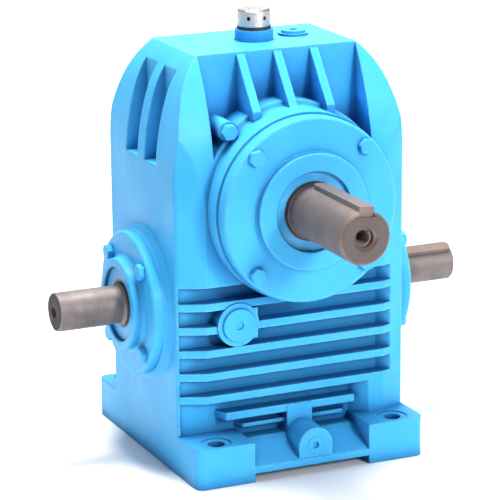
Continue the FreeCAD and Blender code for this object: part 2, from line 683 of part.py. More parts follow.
def ball_bearing(tag):
    """Outer ring, inner ring, balls and cage of one output bearing."""
    low, high = "output_bearing", "output_bearing + output_bearing_width"
    middle = "(output_bearing + output_bearing_width / 2)"
    bore, land_in, land_out = "output_seat", "(ball_circle - 5)", "(ball_circle + 5)"
    groove = "(ball_radius + 0.35)"
    half = f"sqrt({groove} ^ 2 - 25)"
    inner = turned(f"output_bearing_inner_{tag}", [
        (bore, f"{low} + 1"), (bore, f"{high} - 1"), (f"{bore} + 1", high), (land_in, high),
        (land_in, f"{middle} + {half}", groove), (land_in, f"{middle} - {half}"), (land_in, low),
        (f"{bore} + 1", low),
    ])
    outer_radius = "output_bearing_radius"
    outer = turned(f"output_bearing_outer_{tag}", [
        (land_out, low), (land_out, f"{middle} - {half}", groove), (land_out, f"{middle} + {half}"),
        (land_out, high), (f"{outer_radius} - 1", high), (outer_radius, f"{high} - 1"),
        (outer_radius, f"{low} + 1"), (f"{outer_radius} - 1", low),
    ])
    sphere = drive(doc.addObject("Part::Sphere", f"ball_{tag}"), Radius="ball_radius")
    pocket = doc.addObject("Part::Cylinder", f"ball_pocket_{tag}")
    pocket.Placement = Placement(Vector(), Rotation(Vector(0, 1, 0), 90))
    drive(pocket, Radius="ball_radius + 0.25", Height=10, placement_x="ball_circle - 5")
    balls = group(f"balls_{tag}", around(f"ball_{tag}", sphere, 10, "ball_circle", 0, middle))
    pockets = group(f"pockets_{tag}", around(f"pocket_{tag}", pocket, 10, 0, 0, middle))
    ring = tube(f"ball_cage_ring_{tag}", "ball_circle - 1.6", "ball_circle + 1.6", f"{middle} - 8",
                f"{middle} + 8")
    cage = cut(f"ball_cage_cut_{tag}", ring, [pockets])
    for item, name in ((inner, "output_bearing_inner"), (outer, "output_bearing_outer"),
                       (balls, "output_bearing_balls"), (cage, "output_bearing_cage")):
        node(on_side(item, tag), f"{name}_{tag}")


def beside_roller(along, across):
    """(radius, height) of a point given along and across the axis of a roller."""
    middle = "worm_bearing + worm_bearing_width / 2"
    return (f"roller_circle - ({along}) * sin(roller_tilt) + ({across}) * cos(roller_tilt)",
            f"{middle} + ({along}) * cos(roller_tilt) + ({across}) * sin(roller_tilt)")


def roller_cone(name, spare, extra):
    """One roller, made larger by spare all round and longer by extra at each end."""
    item = doc.addObject("Part::Cone", name)
    item.Placement = Placement(Vector(), Rotation(Vector(0, 1, 0), -value("roller_tilt")))
    x, z = beside_roller(f"-roller_length / 2 - {extra}", 0)
    taper = "roller_length / 2 * tan(roller_taper)"
    return drive(item, Radius1=f"roller_radius + {taper} + {spare}",
                 Radius2=f"roller_radius - {taper} + {spare}",
                 Height=f"roller_length + 2 * {extra}", placement_x=x, placement_z=z)


def roller_bearing(tag):
    """Cone, cup, rollers and cage of one worm bearing; the rollers' large ends face the worm."""
    low, high = "worm_bearing", "worm_bearing + worm_bearing_width"
    gap = "(roller_radius + 0.12)"
    inner_rise, outer_rise = "tan(roller_tilt - roller_taper)", "tan(roller_tilt + roller_taper)"

    def race(across, rise, height):
        radius, place = beside_roller(0, across)
        return f"{radius} - (({height}) - ({place})) * {rise}"

    inner = turned(f"worm_bearing_inner_{tag}", [
        ("worm_seat", f"{low} + 1"), ("worm_seat", f"{high} - 1"), ("worm_seat + 1", high), (25.5, high),
        (25.5, f"{high} - 2.4"), (race("-" + gap, inner_rise, f"{high} - 2.4"), f"{high} - 2.4"),
        (race("-" + gap, inner_rise, f"{low} + 2.2"), f"{low} + 2.2"), (31.5, f"{low} + 2.2"), (31.5, low),
        ("worm_seat + 1", low),
    ])
    outer = turned(f"worm_bearing_outer_{tag}", [
        (race(gap, outer_rise, f"{low} + 2.5"), f"{low} + 2.5"), (race(gap, outer_rise, high), high),
        ("worm_bearing_radius - 1", high), ("worm_bearing_radius", f"{high} - 1"),
        ("worm_bearing_radius", f"{low} + 2.5"),
    ])
    roller = roller_cone(f"roller_master_{tag}", 0, 0)
    rollers = group(f"rollers_{tag}", around(f"roller_{tag}", roller, 15, 0, 0))
    pocket = roller_cone(f"roller_pocket_master_{tag}", 0.2, 0.3)
    pockets = group(f"roller_pockets_{tag}", around(f"roller_pocket_{tag}", pocket, 15, 0, 0))
    shell = turned(f"roller_cage_form_{tag}", [
        beside_roller("-roller_length / 2 - 2.3", 0.6), beside_roller("roller_length / 2 + 2.3", 0.6),
        beside_roller("roller_length / 2 + 2.3", 2.2), beside_roller("-roller_length / 2 - 2.3", 2.2),
    ])
    cage = cut(f"roller_cage_cut_{tag}", shell, [pockets])
    for item, name in ((inner, "worm_bearing_inner"), (outer, "worm_bearing_outer"),
                       (rollers, "worm_bearing_rollers"), (cage, "worm_bearing_cage")):
        node(on_side(item, tag), f"{name}_{tag}")


# ---------------------------------------------------------------- output shaft and wheel

def make_output_shaft():
    """Stepped shaft with a collar for the wheel, two keyways and a tapped centre."""
    end = "output_end"
    tail = "-output_bearing - output_bearing_width - 2"
    shaft = turned("output_shaft_form", [
        (0, tail), ("output_seat - 1", tail), ("output_seat", f"{tail} + 1"),
        ("output_seat", "-output_bearing + 1"), ("wheel_seat", "-output_bearing + 1"), ("wheel_seat", 30),
        (33, 30), (33, 50), (29, 50), (29, "output_bearing"), ("output_seat", "output_bearing"),
        ("output_seat", "output_face + 17.5"), ("output_radius", "output_face + 19"),
        ("output_radius", f"{end} - 2.5"), ("output_radius - 2.5", end), (0, end),
    ])
    tools = [
        slot_block("output_keyway", "output_key_width", f"{end} - 2 - output_key_length", f"{end} + 1",
                   "output_radius - 5.5", "output_radius + 5", closed_high=False),
        slot_block("wheel_keyway", "wheel_key_width", -25, 25, "wheel_seat - 6", "wheel_seat + 5"),
        cylinder("output_tapping", 7, f"{end} - 42", f"{end} + 1"),
        cylinder("output_recess", 8.5, f"{end} - 7", f"{end} + 1"),
        cone("output_centre", 8.5, 11.5, f"{end} - 3", end),
    ]
    node(on_side(cut("output_shaft_cut", shaft, tools), "front", OUTPUT_TWIST), "output_shaft")


def make_output_keys():
    """The parallel keys of the output shaft: one under the wheel, one on the free end."""
    outer = slot_block("output_key_form", "output_key_width", "output_end - 2 - output_key_length",
                       "output_end - 2", "output_radius - 5.5", "output_radius + 3.5", closed_high=False)
    node(on_side(outer, "front", OUTPUT_TWIST), "output_key")
    inner = slot_block("wheel_key_form", "wheel_key_width", -25, 25, "wheel_seat - 6", "wheel_seat + 4")
    node(on_side(inner, "front", OUTPUT_TWIST), "wheel_key")


def rim_screw_holes(name):
    """The holes drilled half in the rim and half in the hub."""
    return on_circle(name, cylinder(name + "_drill", 3, "wheel_half - 15", "wheel_half + 1"), "rim")


def make_wheel_hub():
    """Cast-iron centre of the worm wheel with its keyway and half of each rim screw's hole."""
    half = "wheel_half"
    hub = turned("wheel_hub_form", [
        ("wheel_seat", -30), (42, -30), (42, -9), (50, -9), (50, f"-{half}"), ("rim_radius", f"-{half}"),
        ("rim_radius", half), (50, half), (50, 9), (42, 9), (42, 30), ("wheel_seat", 30),
    ])
    keyway = box("hub_keyway", ("-wheel_key_width / 2", "wheel_key_width / 2"),
                 ("wheel_seat - 6", "wheel_seat + 4.3"), (-31, 31))
    bored = cut("wheel_hub_cut", hub, [keyway, rim_screw_holes("hub_screw_hole")])
    node(on_side(bored, "front", OUTPUT_TWIST), "wheel_hub")


def tooth_space(lead, reach):
    """The space between two teeth: the worm's thread, widened, swept a little way round the worm axis."""
    pitch_radius = value("worm_pitch_radius")
    inner = value("worm_pitch_radius - 1.5 * gear_module")
    outer = value("worm_pitch_radius + 1.2 * gear_module")
    half_pitch = lead / 4 + value("mesh_clearance")
    half_inner = half_pitch + (pitch_radius - inner) * value("tooth_relief")
    half_outer = half_pitch - (outer - pitch_radius) * math.tan(math.radians(20))
    corners = [Vector(inner, 0, -half_inner), Vector(inner, 0, half_inner), Vector(outer, 0, half_outer),
               Vector(outer, 0, -half_outer)]
    profile = Part.makePolygon(corners + corners[:1])
    path = Part.makeHelix(lead, lead * 2 * reach / 360, pitch_radius)
    space = Part.Wire(path.Edges).makePipeShell([profile], True, True)
    space.rotate(Vector(), Vector(0, 0, 1), 180 - reach)
    space.translate(Vector(0, 0, -lead * reach / 360))
    space.rotate(Vector(), Vector(0, 1, 0), 90)
    space.translate(Vector(0, 0, value("worm_height")))
    return space


def make_wheel_rim():
    """Bronze rim: a throated ring with the tooth spaces cut all round it."""
    axis_height = value(OUTPUT_AXIS)
    throat = "(worm_pitch_radius - gear_module)"
    half = "wheel_half"
    outer = "(centre_distance - worm_pitch_radius + 1.2 * gear_module)"
    meet = f"sqrt({throat} ^ 2 - (centre_distance - {outer}) ^ 2)"
    blank = on_side(turned("wheel_rim_blank", [
        ("rim_radius", f"-{half}"), ("rim_radius", half), (f"{outer} - 2", half), (outer, f"{half} - 2"),
        (outer, meet, throat), (outer, f"-{meet}"), (outer, f"-{half} + 2"), (f"{outer} - 2", f"-{half}"),
    ]), "front", OUTPUT_TWIST)
    screws = on_side(rim_screw_holes("rim_screw_hole"), "front", OUTPUT_TWIST)
    doc.recompute()
    teeth = int(value("wheel_teeth"))
    space = tooth_space(math.pi * value("gear_module"), 62)
    spaces = []
    for i in range(teeth):
        turned_space = space.copy()
        turned_space.rotate(Vector(0, 0, axis_height), Vector(0, 1, 0), 360 * i / teeth)
        spaces.append(turned_space)
    rim = doc.addObject("Part::Feature", "wheel_rim")
    rim.Shape = blank.Shape.cut(Part.Compound(spaces)).cut(screws.Shape)
    rim.Placement = Placement()
    node(rim, "wheel_rim")


def make_rim_screws():
    """Grub screws half in the rim and half in the hub."""
    screw = cylinder("rim_screw_form", 3, 0, 14)
    socket = prism("rim_screw_socket", 3, 11, 15)
    screws = on_circle("rim_screw", cut("rim_screw_cut", screw, [socket]), "rim", "wheel_half - 15")
    node(on_side(screws, "front", OUTPUT_TWIST), "rim_screws")


# ---------------------------------------------------------------- worm shaft

WORM_KEY_SPANS = {
    "right": ("worm_end - 2 - worm_key_length", "worm_end - 2"),
    "left": ("-worm_end + 2", "-worm_end + 2 + worm_key_length"),
}


def make_worm_shaft():
    """Through shaft with the worm cut on it and a keyway at each end."""
    half_profile = [
        ("worm_radius - 1.5", "worm_end"), ("worm_radius", "worm_end - 1.5"),
        ("worm_radius", "worm_face + 20"), ("worm_seat", "worm_face + 18"), ("worm_seat", "worm_bearing"),
        (24.5, "worm_bearing"), (24.5, 53), (19, 51), (19, 45),
        ("worm_pitch_radius + gear_module", "worm_half"),
    ]
    mirrored = [(radius, f"-({place})") for radius, place in half_profile]
    body = turned("worm_shaft_form", [(0, "-worm_end")] + mirrored + half_profile[::-1] + [(0, "worm_end")])
    sketch = body_sketch(body, "XZ_Plane", "worm_thread_space")
    lead, turns = "pi * gear_module", 6
    start = f"-{turns / 2} * {lead}"
    root, top = 19, "worm_pitch_radius + gear_module + 3"
    slope = "tan(20)"

    def half_width(radius):
        return f"{lead} / 4 + (({radius}) - worm_pitch_radius) * {slope}"

    outline(sketch, [
        (root, f"{start} - ({half_width(root)})"), (top, f"{start} - ({half_width(top)})"),
        (top, f"{start} + ({half_width(top)})"), (root, f"{start} + ({half_width(root)})"),
    ])
    thread = body.newObject("PartDesign::SubtractiveHelix", "worm_thread")
    thread.Profile = sketch
    thread.ReferenceAxis = (sketch, ["V_Axis"])
    thread.Mode = "pitch-height-angle"
    thread.Angle = 0
    drive(thread, Pitch=lead, Height=f"{turns} * {lead}")
    tools = []
    for tag, (low, high) in WORM_KEY_SPANS.items():
        keyway = slot_block(f"worm_keyway_{tag}", "worm_key_width", low, high, "worm_radius - 5",
                            "worm_radius + 5")
        keyway.Placement = Placement(Vector(), Rotation(Vector(0, 0, 1), WORM_TWISTS[tag]))
        tools.append(keyway)
    for tag, sign in (("right", ""), ("left", "-")):
        places = sorted([f"{sign}(worm_end - 30)", f"{sign}(worm_end + 1)"], key=value)
        tools.append(cylinder(f"worm_tapping_{tag}", 5.1, *places))
    node(on_side(cut("worm_shaft_cut", body, tools), "right"), "worm_shaft")


def make_worm_keys():
    """The parallel keys on the two ends of the worm shaft."""
    for tag, (low, high) in WORM_KEY_SPANS.items():
        key = slot_block(f"worm_key_form_{tag}", "worm_key_width", low, high, "worm_radius - 5",
                         "worm_radius + 3")
        node(on_side(key, "right", WORM_TWISTS[tag]), f"worm_key_{tag}")


# ---------------------------------------------------------------- plugs and breather

def make_level_plug():
    """Low socket plug of the oil-level boss with its sealing washer."""
    face = "wall_depth + 1.5"
    washer = tube("level_washer_ring", "plug_radius", 15.5, face, f"{face} + 1")
    body = fuse("level_plug_body", [
        cylinder("level_plug_thread", "plug_radius", f"{face} - 14", f"{face} + 1.1"),
        cylinder("level_plug_collar", 15, f"{face} + 1", f"{face} + 2.5"),
    ])
    plug = cut("level_plug_form", body, [prism("level_plug_socket", 8, f"{face} + 1", f"{face} + 4")])
    for item, name in ((washer, "level_plug_washer"), (plug, "level_plug")):
        item.Placement = Placement(Vector(), Rotation(Vector(1, 0, 0), 90))
        node(drive(item, placement_x="level_x", placement_z="level_z"), name)


def make_drain_plug():
    """Socket plug screwed in almost flush with the face of the drain boss."""
    face = "foot_depth - 2"
    body = cylinder("drain_plug_thread", "plug_radius", f"{face} - 14", f"{face} + 0.4")
    plug = cut("drain_plug_form", body, [prism("drain_plug_socket", 6, f"{face} - 2.5", f"{face} + 1")])
    plug.Placement = Placement(Vector(), Rotation(Vector(1, 0, 0), 90))
    node(drive(plug, placement_x="drain_x", placement_z="drain_z"), "drain_plug")


def make_upper_plug():
    """Hexagon plug of the upper port, left of the front cover."""
    plug = hex_bolt("upper_plug_form", "port_radius * 2", "bolt_flats", 6, 18)
    plug.Placement = Placement(Vector(), Rotation(Vector(1, 0, 0), 90))
    drive(plug, placement_x="upper_x", placement_y="-upper_face", placement_z="upper_z")
    node(plug, "upper_plug")


def make_top_fittings():
    """Vented breather with its rubber washer on the middle boss, and a filler plug beside it."""
    face = "(top_height + breather_height)"
    node(tube("breather_washer_ring", "plug_radius", 15.5, face, f"{face} + 3"), "breather_washer")
    stem = fuse("breather_stem_form", [
        cylinder("breather_thread", "plug_radius", f"{face} - 12", f"{face} + 3.1"),
        cylinder("breather_flange", 15, f"{face} + 3", f"{face} + 5"),
        cylinder("breather_post", 9, f"{face} + 4.9", f"{face} + 13"),
    ])
    vent = cylinder("breather_vent", 3, f"{face} - 13", f"{face} + 14")
    node(cut("breather_stem_cut", stem, [vent]), "breather_stem")
    cap = turned("breather_cap_form", [
        (13, f"{face} + 5"), (15, f"{face} + 5"), (15, f"{face} + 17"), (13.5, f"{face} + 18.5"),
        (0, f"{face} + 18.5"), (0, f"{face} + 15"), (13, f"{face} + 15"),
    ])
    port = doc.addObject("Part::Cylinder", "breather_port")
    port.Placement = Placement(Vector(-11, 0, 0), Rotation(Vector(0, 1, 0), -90))
    drive(port, Radius=1.8, Height=6, placement_z=f"{face} + 11")
    ports = group("breather_ports", around("breather_port_turn", port, 6, 0, 47))
    node(cut("breather_cap_cut", cap, [ports]), "breather_cap")
    filler_face = "(top_height + 2)"
    filler = fuse("filler_plug_body", [
        cylinder("filler_thread", "plug_radius", f"{filler_face} - 12", f"{filler_face} + 0.1", "filler_x",
                 "filler_y"),
        cylinder("filler_collar", 11, filler_face, f"{filler_face} + 2.5", "filler_x", "filler_y"),
    ])
    socket = prism("filler_socket", 8, f"{filler_face} - 6", f"{filler_face} + 3", "filler_x", "filler_y")
    node(cut("filler_plug_form", filler, [socket]), "filler_plug")


# ---------------------------------------------------------------- assembly

def check_document():
    """Stops on any object that did not compute, or any sub-part without a sound solid."""
    for item in doc.Objects:
        if {"Invalid", "Error"} & set(item.State):
            raise RuntimeError(f"{item.Name} is {item.State}")
    for item in nodes:
        shape = item.Shape
        if shape.isNull() or not shape.isValid() or not shape.Solids:
            raise RuntimeError(f"{item.Label} has no sound shape")


make_housing()
make_output_cover()
make_rear_cover()
make_gasket("output_gasket", "front", "output_opening", "output_flange", "output_face", "output")
make_gasket("rear_gasket", "rear", "rear_opening", "rear_flange", "output_face", "rear")
make_seal("output_seal", "front", "output_seat", "output_seal_radius", "output_face + output_seal_start",
          "output_seal_width")
make_bolts("output_cover_bolts", "front", "output", "output_face + 14", 30)
make_bolts("rear_cover_bolts", "rear", "rear", "output_face + 11", 28)
for end in ("left", "right"):
    make_worm_cover(end)
    make_gasket(f"worm_shims_{end}", end, "worm_bearing_radius", "worm_boss", "worm_face", "worm")
    make_seal(f"worm_seal_{end}", end, "worm_seat", "worm_seal_radius", "worm_face + worm_seal_start",
              "worm_seal_width")
    make_bolts(f"worm_cover_bolts_{end}", end, "worm", "worm_face + 10", 24)
    roller_bearing(end)
for end in ("front", "rear"):
    ball_bearing(end)
make_output_shaft()
make_output_keys()
make_wheel_hub()
make_wheel_rim()
make_rim_screws()
node(on_side(tube("wheel_spacer_ring", "wheel_seat", 30, 30, "output_bearing"), "rear"), "wheel_spacer")
make_worm_shaft()
make_worm_keys()
make_level_plug()
make_drain_plug()
make_upper_plug()
make_top_fittings()
doc.recompute()
check_document()

os.makedirs("parts", exist_ok=True)
for item in nodes:
    item.Shape.exportStep(f"parts/{item.Label}.step")
    solids = len(item.Shape.Solids)
    print(f"{item.Label}: {solids} solid(s), {item.Shape.Volume / 1000:.1f} cm3")
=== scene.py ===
"""Looks of a worm gear reducer: paint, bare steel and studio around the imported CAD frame."""
import math

import bmesh
import bpy
from mathutils import Matrix, Vector


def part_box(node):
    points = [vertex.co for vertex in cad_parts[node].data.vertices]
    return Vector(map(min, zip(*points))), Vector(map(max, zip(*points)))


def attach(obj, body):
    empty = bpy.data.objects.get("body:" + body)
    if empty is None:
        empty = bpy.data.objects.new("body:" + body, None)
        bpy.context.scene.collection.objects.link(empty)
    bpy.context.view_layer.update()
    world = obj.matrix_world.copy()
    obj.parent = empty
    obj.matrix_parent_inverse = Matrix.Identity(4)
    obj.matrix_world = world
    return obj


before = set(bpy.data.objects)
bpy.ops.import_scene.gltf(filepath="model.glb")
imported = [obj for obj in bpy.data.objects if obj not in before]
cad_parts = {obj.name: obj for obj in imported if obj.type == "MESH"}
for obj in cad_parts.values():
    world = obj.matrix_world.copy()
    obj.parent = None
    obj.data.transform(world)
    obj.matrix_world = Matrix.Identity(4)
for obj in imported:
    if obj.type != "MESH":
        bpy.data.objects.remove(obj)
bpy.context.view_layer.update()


def axis_height(ring):
    """The height of the axis of a ring-shaped node."""
    low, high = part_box(ring)
    return (low.z + high.z) / 2


WORM_HEIGHT = axis_height("worm_seal_left")
OUTPUT_HEIGHT = axis_height("output_seal")


# ---------------------------------------------------------------- camera, light and stage

CAMERA_TURN = math.radians(-23.99)      # about the vertical, from looking straight at the front
CAMERA_RISE = math.radians(15.31)
CAMERA_ROLL = math.radians(-0.54)
CAMERA_DISTANCE = 2.452
CAMERA_LENS = 189.5                     # on a 36 mm sensor
CAMERA_AIM = (-0.00571, 0.0330)         # across and up in the view, from the middle of the worm's axis
FLOOR_REACH = 9
MIDDLE = (0, 0, 0.2)

# name, place, target, width, height, watts
LAMPS = [
    ("overhead", (0.0, 0.12, 2.3), MIDDLE, 0.7, 0.7, 90),
    ("key", (0.7, -2.35, 1.15), MIDDLE, 0.45, 0.45, 40),
    ("backdrop", (0.9, 2.4, 1.9), (0.9, 2.0, 0), 2.6, 1.6, 44),
]


def view_axes():
    """The camera's right, up and backward directions."""
    back = Vector((
        math.sin(CAMERA_TURN) * math.cos(CAMERA_RISE),
        -math.cos(CAMERA_TURN) * math.cos(CAMERA_RISE),
        math.sin(CAMERA_RISE),
    ))
    right = Vector((math.cos(CAMERA_TURN), math.sin(CAMERA_TURN), 0))
    up = back.cross(right)
    turn = Matrix.Rotation(CAMERA_ROLL, 3, back)
    return turn @ right, turn @ up, back


def make_camera():
    """A long lens that looks down on the front and the left end."""
    right, up, back = view_axes()
    data = bpy.data.cameras.new("camera")
    data.lens = CAMERA_LENS
    data.sensor_width = 36
    data.clip_end = 60
    camera = bpy.data.objects.new("camera", data)
    across, rise = CAMERA_AIM
    centre = Vector((0, 0, WORM_HEIGHT)) + back * CAMERA_DISTANCE + right * across + up * rise
    axes = Matrix((right, up, back)).transposed().to_4x4()
    camera.matrix_world = Matrix.Translation(centre) @ axes
    bpy.context.scene.collection.objects.link(camera)
    bpy.context.scene.camera = camera


def softbox(name, place, target, width, height, power):
    """A white rectangular area lamp at place that faces target."""
    data = bpy.data.lights.new(name, "AREA")
    data.shape = "RECTANGLE"
    data.size = width
    data.size_y = height
    data.energy = power
    lamp = bpy.data.objects.new(name, data)
    way = Vector(target) - Vector(place)
    lamp.location = place
    lamp.rotation_euler = way.to_track_quat("-Z", "Y").to_euler()
    bpy.context.scene.collection.objects.link(lamp)


def make_studio():
    """Even pale surroundings and the lamps: overhead, front right, and one for the backdrop."""
    world = bpy.data.worlds.new("studio")
    world.use_nodes = True
    background = world.node_tree.nodes["Background"]
    background.inputs["Color"].default_value = (0.95, 0.97, 1, 1)
    background.inputs["Strength"].default_value = 0.38
    bpy.context.scene.world = world
    bpy.context.scene.view_settings.view_transform = "Standard"
    for lamp in LAMPS:
        softbox(*lamp)


def make_floor():
    """A plain sheet under the machine and far behind it."""
    mesh = bpy.data.meshes.new("floor")
    shell = bmesh.new()
    bmesh.ops.create_grid(shell, x_segments=8, y_segments=8, size=FLOOR_REACH)
    shell.to_mesh(mesh)
    shell.free()
    floor = bpy.data.objects.new("floor", mesh)
    bpy.context.scene.collection.objects.link(floor)
    mesh.materials.append(floor_finish())


# ---------------------------------------------------------------- shader graphs

def finish(name):
    """A new material with a bare Principled shader; returns the material, its tree and the shader."""
    material = bpy.data.materials.new(name)
    material.use_nodes = True
    tree = material.node_tree
    return material, tree, tree.nodes["Principled BSDF"]


def add(tree, kind, inputs=None, **settings):
    """A node of the given kind, with its sockets set to values or linked from other sockets."""
    item = tree.nodes.new("ShaderNode" + kind)
    for key, setting in settings.items():
        setattr(item, key, setting)
    for key, given in (inputs or {}).items():
        if isinstance(given, bpy.types.NodeSocket):
            tree.links.new(given, item.inputs[key])
        else:
            item.inputs[key].default_value = given
    return item


def place(tree, scale=(1, 1, 1)):
    """Object coordinates in metres, stretched by scale."""
    coordinates = add(tree, "TexCoord").outputs["Object"]
    return add(tree, "Mapping", {"Vector": coordinates, "Scale": scale}).outputs["Vector"]


def noise(tree, where, scale, detail=3, roughness=0.5, distortion=0):
    """Fractal noise from 0 to 1; scale counts its largest grains per metre."""
    inputs = {
        "Vector": where, "Scale": scale, "Detail": detail,
        "Roughness": roughness, "Distortion": distortion,
    }
    return add(tree, "TexNoise", inputs).outputs["Fac"]


def remap(tree, signal, low, high, to_low=0, to_high=1):
    """A clamped linear map of a signal from low..high to to_low..to_high."""
    inputs = {
        "Value": signal, "From Min": low, "From Max": high, "To Min": to_low, "To Max": to_high,
    }
    return add(tree, "MapRange", inputs).outputs["Result"]


def times(tree, first, second):
    """The product of two signals, or of a signal and a number."""
    return add(tree, "Math", {0: first, 1: second}, operation="MULTIPLY").outputs[0]


def plus(tree, first, second):
    """The sum of two signals."""
    return add(tree, "Math", {0: first, 1: second}, operation="ADD").outputs[0]


def blend(tree, amount, first, second):
    """A colour mix; first and second are colours or sockets."""
    item = add(tree, "Mix", {"Factor": amount}, data_type="RGBA")
    for socket, given in zip((item.inputs[6], item.inputs[7]), (first, second)):
        if isinstance(given, bpy.types.NodeSocket):
            tree.links.new(given, socket)
        else:
            socket.default_value = (*given, 1)
    return item.outputs[2]


def rounded(tree, radius):
    """A normal that rounds the edges by radius, and a mask that is 1 where it leaves the plain normal."""
    soft = add(tree, "Bevel", {"Radius": radius}, samples=6).outputs["Normal"]
    plain = add(tree, "NewGeometry").outputs["Normal"]
    agreement = add(tree, "VectorMath", {0: soft, 1: plain}, operation="DOT_PRODUCT")
    return soft, remap(tree, agreement.outputs["Value"], 0.995, 0.86)


def bump(tree, height, depth, normal=None, strength=1):
    """A normal that shows height as relief of the given depth, over another normal if there is one."""
    inputs = {"Height": height, "Distance": depth, "Strength": strength}
    if normal is not None:
        inputs["Normal"] = normal
    return add(tree, "Bump", inputs).outputs["Normal"]


def crevices(tree, reach):
    """1 in narrow corners and 0 on open faces."""
    open_sky = add(tree, "AmbientOcclusion", {"Distance": reach}, samples=6).outputs["AO"]
    return remap(tree, open_sky, 0.78, 0.36)


# ---------------------------------------------------------------- finishes

PAINT = (0.070, 0.460, 0.860)
PAINT_DEEP = (0.008, 0.290, 0.680)
# painted shade: the colour that corners and recesses are darkened towards
PAINTED_CORNER_SHADE = (0.001, 0.050, 0.200)
# pale edge colour: partly paint worn thin, partly a painted highlight
EDGE_WEAR_AND_HIGHLIGHT = (0.200, 0.640, 0.950)
PAINT_SPECK = (0.02, 0.10, 0.20)
PAINT_GLINT = (0.35, 0.75, 1.0, 1)      # tint of the reflections
CREVICE_REACH = 0.025
STEEL = (0.250, 0.182, 0.158)
STEEL_END_FACE = (0.115, 0.095, 0.090)
STEEL_WORN = (0.62, 0.56, 0.53)
WORM_STEEL = (0.215, 0.180, 0.172)
WORM_END_FACE = (0.022, 0.014, 0.012)
KEY_STEEL = (0.240, 0.180, 0.158)
STEEL_METALLIC = 0.55
RUBBER = (0.022, 0.022, 0.025)


def enamel(name, radius, grain=1.0, painted_shade=0.85):
    """Enamel over a casting: painted shade in the corners, outer edges lighter from wear and painted
    highlight.

    The edges look rounded by radius, grain scales the relief, and the last argument sets the strength of
    the painted corner shade.
    """
    material, tree, shader = finish(name)
    where = place(tree)
    soft, edges = rounded(tree, radius)
    corners = crevices(tree, CREVICE_REACH)
    cloud = noise(tree, where, scale=14)
    thickness = remap(tree, cloud, 0.35, 0.7, to_high=0.35)
    colour = blend(tree, thickness, PAINT, PAINT_DEEP)
    # painted shade: corners found by ambient occlusion darken towards a deep blue
    colour = blend(tree, times(tree, corners, painted_shade), colour, PAINTED_CORNER_SHADE)
    chips = remap(tree, noise(tree, where, scale=260, detail=4), 0.35, 0.55, to_high=0.7)
    away_from_corners = remap(tree, corners, 0, 0.25, to_low=1, to_high=0)
    outer_edges = times(tree, edges, away_from_corners)
    # outer edges lightened in patches: partly worn paint, partly a painted highlight
    colour = blend(tree, times(tree, outer_edges, chips), colour, EDGE_WEAR_AND_HIGHLIGHT)
    specks = remap(tree, noise(tree, where, scale=900, detail=1), 0.73, 0.8, to_high=0.35)
    colour = blend(tree, specks, colour, PAINT_SPECK)
    tree.links.new(colour, shader.inputs["Base Color"])
    open_matt = remap(tree, cloud, 0.3, 0.75, to_low=0.30, to_high=0.44)
    tree.links.new(plus(tree, open_matt, times(tree, corners, 0.15)), shader.inputs["Roughness"])
    waves = noise(tree, where, scale=55, detail=2)
    sand = noise(tree, where, scale=420, detail=4, roughness=0.6)
    relief = bump(tree, waves, 0.0006 * grain, soft)
    relief = bump(tree, sand, 0.00035 * grain, relief, strength=0.8)
    tree.links.new(relief, shader.inputs["Normal"])
    shader.inputs["Specular IOR Level"].default_value = 0.16
    shader.inputs["Specular Tint"].default_value = PAINT_GLINT
    shader.inputs["Coat Weight"].default_value = 0.03
    shader.inputs["Coat Roughness"].default_value = 0.2
    return material


def turned_steel(name, colour, axis, roughness, end_place, end_colour):
    """Turned steel with fine lines round the axis, stains of dried oil and darker end faces.

    The end faces are end_place from the frame's origin along the axis.
    """
    material, tree, shader = finish(name)
    stretch = [24, 24, 24]
    stretch[axis] = 2600
    lines = noise(tree, place(tree, stretch), scale=1, detail=2)
    where = place(tree)
    soft, edges = rounded(tree, 0.0006)
    stains = noise(tree, where, scale=38, detail=4, roughness=0.6, distortion=0.4)
    film = remap(tree, stains, 0.44, 0.66, to_high=0.5)
    dark = tuple(0.5 * part for part in colour)
    base = blend(tree, film, colour, dark)
    base = blend(tree, remap(tree, lines, 0.35, 0.7, to_high=0.35), base, dark)
    base = blend(tree, times(tree, edges, 0.5), base, STEEL_WORN)
    along = add(tree, "SeparateXYZ", {0: where}).outputs[axis]
    from_middle = add(tree, "Math", {0: along}, operation="ABSOLUTE").outputs[0]
    # the end faces turn to a separate, darker end colour
    end_darkening = remap(tree, from_middle, end_place - 0.0007, end_place - 0.0003, to_high=0.97)
    base = blend(tree, end_darkening, base, end_colour)
    tree.links.new(base, shader.inputs["Base Color"])
    stained = remap(tree, stains, 0.35, 0.7, to_low=roughness, to_high=roughness + 0.16)
    lined = remap(tree, lines, 0.3, 0.7, to_high=0.08)
    tree.links.new(plus(tree, stained, lined), shader.inputs["Roughness"])
    tree.links.new(bump(tree, lines, 0.00006, soft), shader.inputs["Normal"])
    shader.inputs["Metallic"].default_value = STEEL_METALLIC
    return material


def plain_metal(name, colour, roughness, grain_scale, depth, metallic=1.0):
    """Machined, plated or cast metal with an even grain and slightly worn edges."""
    material, tree, shader = finish(name)
    where = place(tree)
    soft, edges = rounded(tree, 0.0005)
    grain = noise(tree, where, grain_scale, detail=4)
    cloud = noise(tree, where, scale=45)
    dark = tuple(0.6 * part for part in colour)
    light = tuple(min(1, 1.25 * part) for part in colour)
    base = blend(tree, remap(tree, cloud, 0.35, 0.7, to_high=0.5), colour, dark)
    base = blend(tree, times(tree, edges, 0.6), base, light)
    tree.links.new(base, shader.inputs["Base Color"])
    matt = remap(tree, grain, 0.3, 0.7, to_low=roughness, to_high=roughness + 0.18)
    tree.links.new(matt, shader.inputs["Roughness"])
    tree.links.new(bump(tree, grain, depth, soft), shader.inputs["Normal"])
    shader.inputs["Metallic"].default_value = metallic
    return material


